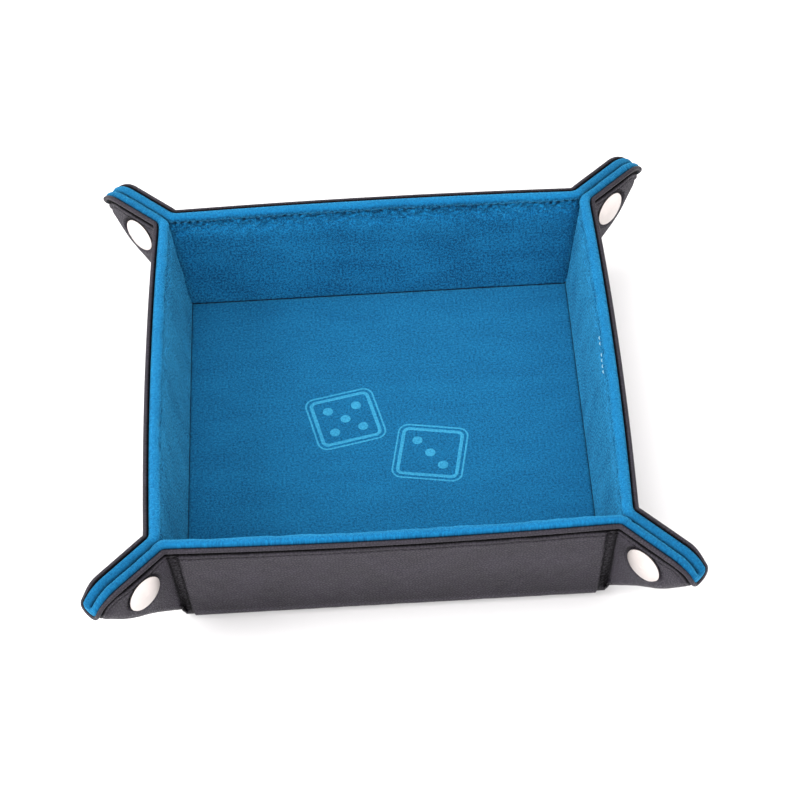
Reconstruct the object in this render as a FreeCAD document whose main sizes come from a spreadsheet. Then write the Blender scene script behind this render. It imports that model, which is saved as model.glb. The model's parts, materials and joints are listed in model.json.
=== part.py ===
"""Folding dice tray: a square sheet of velvet and leather with boards inside, held up by four corner snaps.

Every panel is drawn in the flat sheet, velvet side up, and its Placement folds it to the standing tray.
The creases all lie on the velvet surface, so the sheet folds and opens about them without a gap there.
Row frame: millimetres, +Z up, origin on the resting face under the middle of the tray.
"""

import FreeCAD, Part
import math
import os

import Sketcher

SIZES = {
    "base_half": 81.0,  # middle of the floor to a floor crease
    "wall_height": 46.0,  # floor crease to rim, along the velvet
    "wall_angle": 82.5,  # degrees between a standing wall and the floor
    "sheet_thick": 6.0,  # velvet surface to leather surface
    "leather_thick": 1.2,
    "board_thick": 2.0,
    "foam_thick": 1.6,
    "velvet_thick": 1.2,
    "leather_hem": 2.0,  # thickness of the leather where it is turned in
    "hem_width": 7.0,
    "corner_radius": 14.0,
    "crease_gap": 0.3,
    "base_board_inset": 2.0,
    "wall_board_foot": 2.5,  # floor crease to the wall board
    "wall_board_end": 4.6,  # corner crease to the wall board
    "snap_along": 21.0,  # snap centre from the floor corner, along the wall
    "snap_up": 32.2,  # snap centre from the floor corner, up the wall
    "cap_radius": 7.5,
    "cap_crown": 1.9,
    "cap_edge": 0.7,
    "cap_edge_round": 0.25,
    "cap_sink": 1.2,  # how far each cap is pressed into the leather
    "sink_radius": 8.3,
    "post_radius": 1.8,
    "post_length": 2.7,
    "post_hole_radius": 1.9,
    "seat_height": 3.0,  # leather surface to the snap's seat on the pressed lining
    "seat_radius": 7.0,
    "socket_radius": 6.5,
    "socket_height": 2.7,
    "socket_floor": 0.6,
    "socket_bore_radius": 3.8,
    "socket_groove_radius": 5.4,
    "socket_groove_height": 0.8,
    "socket_groove_up": 1.3,
    "spring_wire_radius": 0.3,
    "spring_bar_offset": 3.6,
    "spring_arc_radius": 5.0,
    "spring_bar_reach": 3.4,
    "stud_flange_radius": 5.7,
    "stud_flange_thick": 0.8,
    "stud_bore_depth": 1.3,
    "stud_neck_radius": 2.6,
    "stud_head_radius": 3.0,
    "stud_height": 4.8,
    "stud_head_height": 1.6,
    "stud_tip_chamfer": 0.7,
}

# Walls by name: the turn about Z that carries the back wall's drawing to each of them, and the corners at its ends.
WALLS = {
    "back": {"turn": 0.0, "plus": "back_right", "minus": "back_left"},
    "left": {"turn": 90.0, "plus": "back_left", "minus": "front_left"},
    "front": {"turn": 180.0, "plus": "front_left", "minus": "front_right"},
    "right": {"turn": -90.0, "plus": "front_right", "minus": "back_right"},
}

doc = FreeCAD.newDocument("folding_dice_tray")
sheet = doc.addObject("Spreadsheet::Sheet", "Sheet")
for row, (alias, value) in enumerate(SIZES.items(), start=1):
    sheet.set(f"A{row}", alias)
    sheet.set(f"B{row}", str(value))
    sheet.setAlias(f"B{row}", alias)
doc.recompute()

parts = []

# Expressions of the sheet's cells that several sketches share.
HALF = "Sheet.base_half"
RIM = "(Sheet.base_half + Sheet.wall_height)"
LEAN = "cos(Sheet.wall_angle * 1deg)"
MITRE_STRETCH = f"sqrt(1 + {LEAN} * {LEAN})"
BEVEL = "tan(acos(sin(Sheet.wall_angle * 1deg) / sqrt(2)) / 2)"
HALF_GAP = "(Sheet.crease_gap / 2)"
HEM_LINE = f"({RIM} - Sheet.hem_width)"


def cell(alias):
    """The plain number that a sheet cell holds."""
    return float(getattr(sheet, alias))


def new_body(label):
    body = doc.addObject("PartDesign::Body", label)
    body.Label = label
    parts.append(body)
    return body


def origin_plane(body, role):
    return next(f for f in body.Origin.OriginFeatures if f.Role == role)


def value_of(expression):
    """Evaluates an expression of the sheet, to draw sketch geometry near where its constraints put it."""
    result = doc.Sheet.evalExpression(expression)
    return float(getattr(result, "Value", result))


def new_sketch(body, name, role="XY_Plane", height="0"):
    """An empty sketch on one of the body's origin planes, raised by an expression of the sheet."""
    sketch = body.newObject("Sketcher::SketchObject", f"{body.Name}_{name}")
    sketch.AttachmentSupport = [(origin_plane(body, role), "")]
    sketch.MapMode = "FlatFace"
    if height != "0":
        sketch.setExpression("AttachmentOffset.Base.z", height)
    return sketch


def pin_point(sketch, geometry, end, x, y=None):
    """Binds one point of a sketch to the expressions of its coordinates."""
    for kind, expression in (("DistanceX", x), ("DistanceY", y)):
        if expression is None:
            continue
        index = sketch.addConstraint(
            Sketcher.Constraint(kind, geometry, end, value_of(expression))
        )
        sketch.setExpression(f"Constraints[{index}]", expression)


def draw_outline(sketch, corners, arcs=None):
    """Draws a closed outline through corners, (x, y) expressions in order.

    arcs maps the number of the corner where an arc starts to (centre x, centre y, radius, turns anticlockwise).
    The far end of such an arc is bound by its x alone, because its radius gives the rest.
    """
    arcs = arcs or {}
    points = [
        FreeCAD.Vector(value_of(x), value_of(y), 0) for x, y in corners
    ]
    count = len(corners)
    for i, start in enumerate(points):
        end = points[(i + 1) % count]
        if i in arcs:
            cx, cy, radius, anticlockwise = arcs[i]
            centre = FreeCAD.Vector(value_of(cx), value_of(cy), 0)
            first, last = (start, end) if anticlockwise else (end, start)
            circle = Part.Circle(centre, FreeCAD.Vector(0, 0, 1), value_of(radius))
            angles = [math.atan2(p.y - centre.y, p.x - centre.x) for p in (first, last)]
            sketch.addGeometry(Part.ArcOfCircle(circle, *angles))
        else:
            sketch.addGeometry(Part.LineSegment(start, end))

    def start_of(i):
        return 2 if i in arcs and not arcs[i][3] else 1

    def end_of(i):
        return 1 if i in arcs and not arcs[i][3] else 2

    for i in range(count):
        following = (i + 1) % count
        joined = Sketcher.Constraint(
            "Coincident", i, end_of(i), following, start_of(following)
        )
        sketch.addConstraint(joined)
    for i, (x, y) in enumerate(corners):
        after_arc = (i - 1) % count in arcs
        starts_arc = i in arcs
        pin_point(sketch, i, start_of(i), x, None if after_arc or starts_arc else y)
    for i, (cx, cy, radius, _) in arcs.items():
        pin_point(sketch, i, 3, cx, cy)
        index = sketch.addConstraint(
            Sketcher.Constraint("Radius", i, value_of(radius))
        )
        sketch.setExpression(f"Constraints[{index}]", radius)
    doc.recompute()


def pad(body, name, corners, height, length, arcs=None):
    """Adds a flat layer to body: an outline in the sheet, raised to height and as thick as length."""
    sketch = new_sketch(body, name, height=height)
    draw_outline(sketch, corners, arcs)
    feature = body.newObject("PartDesign::Pad", f"{body.Name}_{name}_pad")
    feature.Profile = sketch
    feature.setExpression("Length", length)
    doc.recompute()
    return feature


def round_hole(body, name, x, y, radius, height, depth):
    """Cuts a round hole of that depth upwards from height."""
    before = body.Shape.Volume
    sketch = new_sketch(body, name, height=height)
    centre = FreeCAD.Vector(value_of(x), value_of(y), 0)
    sketch.addGeometry(
        Part.Circle(centre, FreeCAD.Vector(0, 0, 1), value_of(radius))
    )
    pin_point(sketch, 0, 3, x, y)
    index = sketch.addConstraint(Sketcher.Constraint("Radius", 0, value_of(radius)))
    sketch.setExpression(f"Constraints[{index}]", radius)
    feature = body.newObject("PartDesign::Pocket", f"{body.Name}_{name}_pocket")
    feature.Profile = sketch
    feature.Reversed = True
    feature.setExpression("Length", depth)
    doc.recompute()
    if body.Shape.Volume >= before:
        raise RuntimeError(f"{body.Label}: {name} cuts nothing")


def revolve(body, corners, arcs=None):
    """Turns a half section, drawn in x and z, about the body's Z axis."""
    sketch = new_sketch(body, "section", role="XZ_Plane")
    draw_outline(sketch, corners, arcs)
    feature = body.newObject("PartDesign::Revolution", f"{body.Name}_turned")
    feature.Profile = sketch
    feature.ReferenceAxis = (sketch, ["V_Axis"])
    feature.Angle = 360.0
    doc.recompute()
    return feature


# Placements that fold a panel from the flat sheet to the standing tray.


def wall_turn(wall):
    return FreeCAD.Placement(
        FreeCAD.Vector(), FreeCAD.Rotation(FreeCAD.Vector(0, 0, 1), WALLS[wall]["turn"])
    )


def wall_fold(wall):
    """Raises a wall about its floor crease."""
    crease = FreeCAD.Vector(0, cell("base_half"), cell("sheet_thick"))
    raised = FreeCAD.Placement(
        FreeCAD.Vector(),
        FreeCAD.Rotation(FreeCAD.Vector(1, 0, 0), cell("wall_angle")),
        crease,
    )
    return wall_turn(wall) * raised


def ear_fold(wall, side):
    """Folds half an ear back about its corner crease, so that its velvet meets the other half's."""
    sign = 1 if side == "plus" else -1
    lean = math.cos(math.radians(cell("wall_angle")))
    fold = math.degrees(
        math.acos(math.sin(math.radians(cell("wall_angle"))) / math.sqrt(2))
    )
    corner = FreeCAD.Vector(
        sign * cell("base_half"), cell("base_half"), cell("sheet_thick")
    )
    folded = FreeCAD.Placement(
        FreeCAD.Vector(),
        FreeCAD.Rotation(FreeCAD.Vector(sign * lean, 1, 0), sign * fold),
        corner,
    )
    return wall_fold(wall) * folded


def snap_place(wall, side):
    """From a snap part's own axis to its place on an ear."""
    sign = 1 if side == "plus" else -1
    centre = FreeCAD.Vector(
        sign * (cell("base_half") + cell("snap_along")),
        cell("base_half") + cell("snap_up"),
        0,
    )
    return ear_fold(wall, side) * FreeCAD.Placement(centre, FreeCAD.Rotation())


# Outlines in the flat sheet, for the wall on the +Y side.


def square(inset):
    edge = f"({HALF} - {inset})"
    return [
        (f"-{edge}", f"-{edge}"),
        (edge, f"-{edge}"),
        (edge, edge),
        (f"-{edge}", edge),
    ]


def wall_outline(foot, top, depth, end_inset="0"):
    """A wall layer between two lines across the sheet, cut back at its ends so that layers as deep as depth clear."""

    def end(y):
        inset = f"(({depth}) * {BEVEL} + {HALF_GAP} + {end_inset}) * {MITRE_STRETCH}"
        return f"({HALF} + {LEAN} * (({y}) - {HALF}) - {inset})"

    return [
        (f"-{end(foot)}", foot),
        (end(foot), foot),
        (end(top), top),
        (f"-{end(top)}", top),
    ]


def ear_outline(side, depth):
    """Half an ear: corner crease, rim, rounded corner of the sheet, and the diagonal where the ear folds."""
    inset = f"(({depth}) * {BEVEL} + {HALF_GAP}) * {MITRE_STRETCH}"
    diagonal = f"({HALF_GAP} * sqrt(2))"
    radius = "Sheet.corner_radius"
    centre = f"({RIM} - {radius})"
    foot = f"(({LEAN} * {diagonal} + {inset}) / (1 - {LEAN}))"
    end_angle = f"(45deg + asin({HALF_GAP} / {radius}))"
    corners = [
        (f"({HALF} + {foot})", f"({HALF} + {foot} + {diagonal})"),
        (f"({centre} + {radius} * cos({end_angle}))", f"({centre} + {radius} * sin({end_angle}))"),
        (centre, RIM),
        (f"({HALF} + {LEAN} * Sheet.wall_height + {inset})", RIM),
    ]
    if side == "plus":
        return corners, {1: (centre, centre, radius, True)}
    mirrored = [(f"-{x}", y) for x, y in corners]
    return mirrored, {1: (f"-{centre}", centre, radius, False)}


# Layers of the sheet.

LEATHER = "Sheet.leather_thick"
HEM = "Sheet.leather_hem"
BOARD_AT = "Sheet.leather_thick"
FOAM_AT = "(Sheet.leather_thick + Sheet.board_thick)"
VELVET_AT = "(Sheet.sheet_thick - Sheet.velvet_thick)"
THICK = "Sheet.sheet_thick"
EAR_LINING = f"({THICK} - {HEM} - {HALF_GAP})"


def make_base():
    pad(new_body("base_cover"), "panel", square(HALF_GAP), "0", LEATHER)
    pad(
        new_body("base_board"),
        "panel",
        square("Sheet.base_board_inset"),
        BOARD_AT,
        "Sheet.board_thick",
    )
    pad(
        new_body("base_foam"),
        "panel",
        square("Sheet.base_board_inset"),
        FOAM_AT,
        "Sheet.foam_thick",
    )
    pad(
        new_body("base_lining"),
        "panel",
        square(HALF_GAP),
        VELVET_AT,
        "Sheet.velvet_thick",
    )


def make_wall(wall):
    """One wall: leather outside, velvet inside, both turned in at the rim, with a board and foam between."""
    foot = f"({HALF} + {HALF_GAP})"
    board_foot = f"({HALF} + Sheet.wall_board_foot)"
    board_outline = wall_outline(board_foot, HEM_LINE, "0", "Sheet.wall_board_end")

    cover = new_body(f"wall_cover_{wall}")
    pad(cover, "panel", wall_outline(foot, RIM, THICK), "0", LEATHER)
    pad(cover, "hem", wall_outline(HEM_LINE, RIM, THICK), "0", HEM)

    board = new_body(f"wall_board_{wall}")
    pad(board, "panel", board_outline, BOARD_AT, "Sheet.board_thick")

    foam = new_body(f"wall_foam_{wall}")
    pad(foam, "panel", board_outline, FOAM_AT, "Sheet.foam_thick")

    lining = new_body(f"wall_lining_{wall}")
    velvet = "Sheet.velvet_thick"
    pad(lining, "panel", wall_outline(foot, RIM, velvet), VELVET_AT, velvet)
    hem_depth = f"({THICK} - {HEM})"
    pad(lining, "hem", wall_outline(HEM_LINE, RIM, hem_depth), HEM, hem_depth)

    for body in (cover, board, foam, lining):
        body.Placement = wall_fold(wall)


def make_crease_cover(wall):
    """The leather that wraps the standing tray's lower edge, from the floor's cover to a wall's."""
    body = new_body(f"crease_cover_{wall}")
    sketch = new_sketch(body, "section", role="YZ_Plane")
    clear = f"asin({HALF_GAP} / {THICK})"
    low = f"(-90deg + {clear})"
    high = f"((Sheet.wall_angle - 90) * 1deg - {clear})"
    inner = f"({THICK} - {LEATHER})"

    def point(radius, angle):
        return f"({HALF} + {radius} * cos({angle}))", f"({THICK} + {radius} * sin({angle}))"

    corners = [
        point(THICK, low),
        point(THICK, high),
        point(inner, high),
        point(inner, low),
    ]
    arcs = {0: (HALF, THICK, THICK, True), 2: (HALF, THICK, inner, False)}
    draw_outline(sketch, corners, arcs)
    feature = body.newObject("PartDesign::Pad", f"{body.Name}_wrap")
    feature.Profile = sketch
    feature.Midplane = True
    feature.setExpression("Length", f"2 * ({HALF} - {HALF_GAP})")
    doc.recompute()
    body.Placement = wall_turn(wall)


def make_ear(wall, side):
    """Half an ear, with the seat that its half of the snap is pressed into."""
    corner = WALLS[wall][side]
    sign = "" if side == "plus" else "-"
    x = f"{sign}({HALF} + Sheet.snap_along)"
    y = f"({HALF} + Sheet.snap_up)"
    hole = "Sheet.post_hole_radius"

    cover = new_body(f"ear_cover_{corner}_{wall}")
    corners, arcs = ear_outline(side, THICK)
    pad(cover, "panel", corners, "0", HEM, arcs)
    round_hole(cover, "sink", x, y, "Sheet.sink_radius", "0", "Sheet.cap_sink")
    round_hole(cover, "post_hole", x, y, hole, "0", HEM)

    lining = new_body(f"ear_lining_{corner}_{wall}")
    corners, arcs = ear_outline(side, f"({THICK} - {HEM})")
    pad(lining, "panel", corners, HEM, EAR_LINING, arcs)
    round_hole(lining, "post_hole", x, y, hole, HEM, EAR_LINING)
    seat = "Sheet.seat_height"
    round_hole(lining, "seat", x, y, "Sheet.seat_radius", seat, f"({THICK} - {seat})")

    for body in (cover, lining):
        body.Placement = ear_fold(wall, side)


def make_cap(wall, side):
    """A domed snap cap on the leather, with the post that rivets it through the ear."""
    body = new_body(f"snap_cap_{WALLS[wall][side]}_{wall}")
    radius, crown, edge = "Sheet.cap_radius", "Sheet.cap_crown", "Sheet.cap_edge"
    rise = f"({crown} - {edge})"
    dome = f"(({radius} * {radius} + {rise} * {rise}) / (2 * {rise}))"
    corners = [
        ("0", f"-{crown}"),
        (radius, f"-{edge}"),
        (radius, f"-{edge} * 0.3"),
        (f"({radius} - Sheet.cap_edge_round)", "0"),
        ("Sheet.post_radius", "0"),
        ("Sheet.post_radius", "Sheet.post_length"),
        ("0", "Sheet.post_length"),
    ]
    revolve(body, corners, {0: ("0", f"({dome} - {crown})", dome, True)})
    pressed_in = FreeCAD.Placement(FreeCAD.Vector(0, 0, cell("cap_sink")), FreeCAD.Rotation())
    body.Placement = snap_place(wall, side) * pressed_in


def make_socket(wall):
    """The socket half of a snap: a cup with a groove for its spring, on the wall's plus end."""
    body = new_body(f"snap_socket_{WALLS[wall]['plus']}")
    seat = "Sheet.seat_height"
    floor = f"({seat} + Sheet.socket_floor)"
    top = f"({seat} + Sheet.socket_height)"
    groove = f"({seat} + Sheet.socket_groove_up)"
    groove_top = f"({groove} + Sheet.socket_groove_height)"
    outer, bore = "Sheet.socket_radius", "Sheet.socket_bore_radius"
    bevel = "0.4"
    corners = [
        ("Sheet.post_hole_radius", seat),
        (outer, seat),
        (outer, f"({top} - {bevel})"),
        (f"({outer} - {bevel})", top),
        (f"({bore} + {bevel})", top),
        (bore, f"({top} - {bevel})"),
        (bore, groove_top),
        ("Sheet.socket_groove_radius", groove_top),
        ("Sheet.socket_groove_radius", groove),
        (bore, groove),
        (bore, floor),
        ("Sheet.post_hole_radius", floor),
    ]
    revolve(body, corners)
    body.Placement = snap_place(wall, "plus")


def make_spring(wall):
    """The wire spring in a socket's groove: two bars that grip the stud, joined by an arc."""
    body = new_body(f"snap_spring_{WALLS[wall]['plus']}")
    middle = "(Sheet.seat_height + Sheet.socket_groove_up + Sheet.socket_groove_height / 2)"
    offset, ring = "Sheet.spring_bar_offset", "Sheet.spring_arc_radius"
    reach = "Sheet.spring_bar_reach"
    knee = f"sqrt({ring} * {ring} - {offset} * {offset})"

    path = new_sketch(body, "path", height=middle)
    turn = math.asin(value_of(offset) / value_of(ring))
    circle = Part.Circle(FreeCAD.Vector(), FreeCAD.Vector(0, 0, 1), value_of(ring))
    low = FreeCAD.Vector(value_of(knee), -value_of(offset), 0)
    high = FreeCAD.Vector(value_of(knee), value_of(offset), 0)
    left = FreeCAD.Vector(-value_of(reach), 0, 0)
    path.addGeometry(Part.LineSegment(left + FreeCAD.Vector(0, low.y, 0), low))
    path.addGeometry(Part.ArcOfCircle(circle, -turn, turn))
    path.addGeometry(Part.LineSegment(high, left + FreeCAD.Vector(0, high.y, 0)))
    path.addConstraint(Sketcher.Constraint("Coincident", 0, 2, 1, 1))
    path.addConstraint(Sketcher.Constraint("Coincident", 1, 2, 2, 1))
    pin_point(path, 0, 1, f"-{reach}", f"-{offset}")
    pin_point(path, 0, 2, knee, f"-{offset}")
    pin_point(path, 2, 1, knee, offset)
    pin_point(path, 2, 2, f"-{reach}", offset)
    index = path.addConstraint(Sketcher.Constraint("Radius", 1, value_of(ring)))
    path.setExpression(f"Constraints[{index}]", ring)

    wire = new_sketch(body, "wire", role="YZ_Plane", height=f"-{reach}")
    centre = FreeCAD.Vector(-value_of(offset), value_of(middle), 0)
    wire.addGeometry(
        Part.Circle(centre, FreeCAD.Vector(0, 0, 1), value_of("Sheet.spring_wire_radius"))
    )
    pin_point(wire, 0, 3, f"-{offset}", middle)
    index = wire.addConstraint(
        Sketcher.Constraint("Radius", 0, value_of("Sheet.spring_wire_radius"))
    )
    wire.setExpression(f"Constraints[{index}]", "Sheet.spring_wire_radius")
    doc.recompute()

    pipe = body.newObject("PartDesign::AdditivePipe", f"{body.Name}_bent")
    pipe.Profile = wire
    pipe.Spine = path
    pipe.Transition = "Round corner"
    doc.recompute()
    body.Placement = snap_place(wall, "plus")


def make_stud(wall):
    """The stud half of a snap, on the wall's minus end: a flange, a neck and a head that enters the socket."""
    body = new_body(f"snap_stud_{WALLS[wall]['minus']}")
    seat = "Sheet.seat_height"
    flange_top = f"({seat} + Sheet.stud_flange_thick)"
    top = f"({seat} + Sheet.stud_height)"
    shoulder = f"({top} - Sheet.stud_head_height)"
    bore_top = f"({seat} + Sheet.stud_bore_depth)"
    chamfer = "Sheet.stud_tip_chamfer"
    neck, head = "Sheet.stud_neck_radius", "Sheet.stud_head_radius"
    corners = [
        ("Sheet.post_hole_radius", seat),
        ("Sheet.stud_flange_radius", seat),
        ("Sheet.stud_flange_radius", flange_top),
        (neck, flange_top),
        (neck, shoulder),
        (head, f"({shoulder} + ({head} - {neck}))"),
        (head, f"({top} - {chamfer})"),
        (f"({head} - {chamfer})", top),
        ("0", top),
        ("0", bore_top),
        ("Sheet.post_hole_radius", bore_top),
    ]
    revolve(body, corners)
    body.Placement = snap_place(wall, "minus")


def check_and_write():
    """Stops on a failed object or an unsound solid, then writes each sub-part's STEP file."""
    doc.recompute()
    failed = [o.Name for o in doc.Objects if {"Invalid", "Error"} & set(o.State)]
    if failed:
        raise RuntimeError(f"failed objects: {failed}")
    os.makedirs("parts", exist_ok=True)
    for body in parts:
        shape = body.Shape
        if shape.isNull() or not shape.isValid() or len(shape.Solids) != 1:
            raise RuntimeError(f"{body.Label} isn't one sound solid")
        shape.exportStep(f"parts/{body.Label}.step")
    print(f"{len(parts)} sub-parts written")


make_base()
for name in WALLS:
    make_wall(name)
    make_crease_cover(name)
    for end in ("plus", "minus"):
        make_ear(name, end)
        make_cap(name, end)
    make_socket(name)
    make_spring(name)
    make_stud(name)
check_and_write()
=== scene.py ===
"""The looks of the folding dice tray: velvet, leather, seams and studio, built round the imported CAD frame.

Every soft piece comes from one map of the flat sheet. A point is (s, t, d) on a wall's side of the sheet:
s along the wall, t up from its floor crease and d below the velvet surface. fold() carries it to the standing
tray. Lengths are millimetres until a mesh is made.
"""
import json
import math

import bpy
import numpy as np
from mathutils import Matrix, Vector


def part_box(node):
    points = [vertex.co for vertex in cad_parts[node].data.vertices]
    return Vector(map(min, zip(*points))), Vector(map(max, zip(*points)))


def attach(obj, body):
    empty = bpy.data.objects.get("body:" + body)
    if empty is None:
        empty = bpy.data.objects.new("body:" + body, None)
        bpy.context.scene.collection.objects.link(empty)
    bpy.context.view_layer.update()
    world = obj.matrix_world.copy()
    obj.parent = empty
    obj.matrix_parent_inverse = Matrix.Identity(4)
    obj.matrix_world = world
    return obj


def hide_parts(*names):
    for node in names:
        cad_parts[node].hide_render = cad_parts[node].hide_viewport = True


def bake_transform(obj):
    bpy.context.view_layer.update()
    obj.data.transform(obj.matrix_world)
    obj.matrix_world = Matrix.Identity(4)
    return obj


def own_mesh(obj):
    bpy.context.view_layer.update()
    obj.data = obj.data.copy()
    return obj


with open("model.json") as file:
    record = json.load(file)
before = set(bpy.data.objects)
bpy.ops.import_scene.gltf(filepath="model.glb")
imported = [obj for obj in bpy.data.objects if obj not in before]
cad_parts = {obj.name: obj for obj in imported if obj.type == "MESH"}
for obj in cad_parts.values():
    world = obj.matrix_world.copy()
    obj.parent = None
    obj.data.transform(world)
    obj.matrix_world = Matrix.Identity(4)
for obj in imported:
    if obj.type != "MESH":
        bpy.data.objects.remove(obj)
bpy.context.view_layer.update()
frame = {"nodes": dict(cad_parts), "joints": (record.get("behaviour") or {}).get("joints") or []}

MM = 0.001

# ---- sizes, read from the frame

FOLD = next(joint for joint in frame["joints"] if joint["name"] == "fold_back")
BASE = FOLD["pos_m"][1] / MM  # middle of the floor to a floor crease
THICK = FOLD["pos_m"][2] / MM  # velvet surface to leather surface
LEAN = math.radians(FOLD["range_deg"][1])
COS, SIN = math.cos(LEAN), math.sin(LEAN)  # of a standing wall's slope
RISE = (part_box("wall_lining_back")[1][2] / MM - THICK) / SIN  # floor crease to rim, along the velvet
CREASE_RUN = math.hypot(1, COS)  # along a corner crease, for each millimetre up a wall
PINCH = math.acos(SIN / math.sqrt(2))  # how far an ear folds back
DIAGONAL = math.pi / 4 - math.atan(COS)  # corner crease to the sheet's diagonal
CORNER_R = 14.0  # at the flat sheet's corners
SNAP = (21.0, 32.2)  # snap centre from the floor corner
JOIN = 12.0  # where a wall's middle piece meets its end piece, from the floor corner
BOW = 1.5  # how far a rim bulges outwards at its middle
VELVET_BEND = 3.4  # half width of the velvet that turns at a corner crease
CHANNEL = 0.85  # depth of the sunk strip of a wall's leather beside each ear
CREASE_SPAN = 2 * THICK * math.tan(PINCH / 2) * 0.8  # the sheet's width bunched in a corner crease
TIP_BACK = 3.2  # how far the sheet's edge draws back where it goes round an ear's folded edge
CORNER_DRAW = 1.9  # how far the leather is drawn in between two folds
HAIR = 0.05  # gap left between the two halves of an ear when the sheet lies flat
STITCH = 3.1  # from one stitch to the next
SLANT = 0.35  # how far a stitch's place along a seam shifts for each millimetre up
# How much of the velvet's seam shows through the pile on each wall.
SEAM_SHOWS = {"back": 1.0, "left": 0.25, "front": 0.5, "right": 0.12}

VELVET_PLY, EAR_VELVET_PLY, LEATHER_PLY, CORNER_PLY = 1.0, 0.9, 0.9, 0.8  # thickness of each skin

SPAN = 300  # side of the square of flat sheet that texture coordinates from 0 to 1 cover
PANEL_ROWS = 44  # of a mesh, from the floor crease to the rim band
MIDDLE_STEP, END_STEP = 1.0, 0.75  # from one column of a mesh to the next

TURN = {"back": 0, "left": 90, "front": 180, "right": -90}
ENDS = {
    "back": ("back_right", "back_left"),
    "left": ("back_left", "front_left"),
    "front": ("front_left", "front_right"),
    "right": ("front_right", "back_right"),
}

CORNER = np.array([BASE, BASE, THICK])  # where two floor creases meet
MITRE = np.array([COS, COS, SIN]) / CREASE_RUN  # up a corner crease
ALONG = np.array([1, -COS * COS, -COS * SIN]) / CREASE_RUN  # in the wall, square to the corner crease
OUT = np.array([0, SIN, -COS])  # from velvet to leather, on a wall
EAR_OUT = math.cos(PINCH) * OUT - math.sin(PINCH) * ALONG
EAR_ALONG = math.cos(PINCH) * ALONG + math.sin(PINCH) * OUT
ACROSS = math.cos(PINCH / 2) * ALONG + math.sin(PINCH / 2) * OUT  # half way between ALONG and EAR_ALONG
EDGE = math.cos(DIAGONAL) * MITRE + math.sin(DIAGONAL) * EAR_ALONG  # up an ear's folded edge
BEYOND = math.cos(DIAGONAL) * EAR_ALONG - math.sin(DIAGONAL) * MITRE  # off that edge, in the ear's plane
UP = np.array([0.0, 0.0, 1.0])


# ---- the sheet's map


def waves(u, v, size, seed):
    """Smooth random relief over the flat sheet, about -1 to 1, with features of that size."""
    rng = np.random.default_rng(seed)
    count = 14
    total = np.zeros(np.broadcast(u, v).shape)
    for _ in range(count):
        angle, phase = rng.uniform(0, 2 * math.pi, 2)
        k = 2 * math.pi / (size * rng.uniform(0.7, 1.5))
        total += np.sin(k * (u * math.cos(angle) + v * math.sin(angle)) + phase)
    return total / math.sqrt(count)


def step(x, low, high):
    """Rises smoothly from 0 at low to 1 at high."""
    x = np.clip((x - low) / (high - low), 0, 1)
    return x * x * (3 - 2 * x)


def hump(x, middle, width):
    return np.exp(-(((x - middle) / width) ** 2))


def mitre_distance(s, t):
    """How far a point is past the corner crease (positive on the ear), and how far up it."""
    return ((s - BASE) - COS * t) / CREASE_RUN, ((s - BASE) * COS + t) / CREASE_RUN


def edge_distance(s, t):
    """How far a point is from an ear's folded edge."""
    return (t - np.abs(s) + BASE) / math.sqrt(2)


def snap_distance(s, t):
    return np.hypot(np.abs(s) - BASE - SNAP[0], t - SNAP[1])


def stitch_wave(s, t, shift=0.0):
    return np.cos(2 * math.pi * (s + SLANT * t) / STITCH + shift)


def fold(s, t, d):
    """Carries back wall points with s >= 0 to the standing tray, round the velvet's corner crease."""
    q, r = mitre_distance(s, t)
    half = VELVET_BEND * np.clip((r + 1.0) / 8.0, 0.12, 1.0)
    radius = half / math.tan(PINCH / 2)
    angle = np.clip((q + half) / (2 * half), 0, 1) * PINCH
    foot = CORNER + r[..., None] * MITRE
    normal = np.cos(angle)[..., None] * OUT - np.sin(angle)[..., None] * ALONG
    wall = foot + q[..., None] * ALONG + d[..., None] * OUT
    ear = foot + q[..., None] * EAR_ALONG + d[..., None] * EAR_OUT
    turn = foot - half[..., None] * ALONG + radius[..., None] * OUT - (radius - d)[..., None] * normal
    return np.where((q < -half)[..., None], wall, np.where((q > half)[..., None], ear, turn))


def bow(s, t):
    return BOW * np.clip(1 - (s / BASE) ** 2, 0, 1) * np.clip(t / RISE, 0, 1.1) ** 1.3


def turned(points, degrees):
    """Turns points about the vertical axis."""
    a = math.radians(degrees)
    c, s = round(math.cos(a), 9), round(math.sin(a), 9)
    out = points.copy()
    out[..., 0] = c * points[..., 0] - s * points[..., 1]
    out[..., 1] = s * points[..., 0] + c * points[..., 1]
    return out


def to_wall(points, side, wall):
    """Carries points of the back wall's right end (side 1) to an end of another wall."""
    return turned(points * np.array([side, 1.0, 1.0]), TURN[wall])


def placed_end(s, t, d, side, wall):
    """Sheet points of one end of a wall, in the standing tray."""
    return to_wall(fold(s, t, d + bow(s, t)), side, wall)


def placed_middle(s, t, d, wall):
    """Sheet points on both sides of a wall's middle, in the standing tray."""
    points = fold(np.abs(s), t, d + bow(s, t))
    points[..., 0] *= np.where(s < 0, -1.0, 1.0)
    return turned(points, TURN[wall])


def outward_of(wall):
    return turned(np.array([0.0, 1.0, 0.0]), TURN[wall])


def on_sheet(s, t, side, wall):
    """Where a point of a wall's side lies on the whole flat sheet."""
    points = np.stack([side * s, BASE + t, np.zeros_like(s)], -1)
    return turned(points, TURN[wall])[..., :2]


def as_uv(flat):
    return flat / SPAN + 0.5


# ---- meshes


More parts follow.
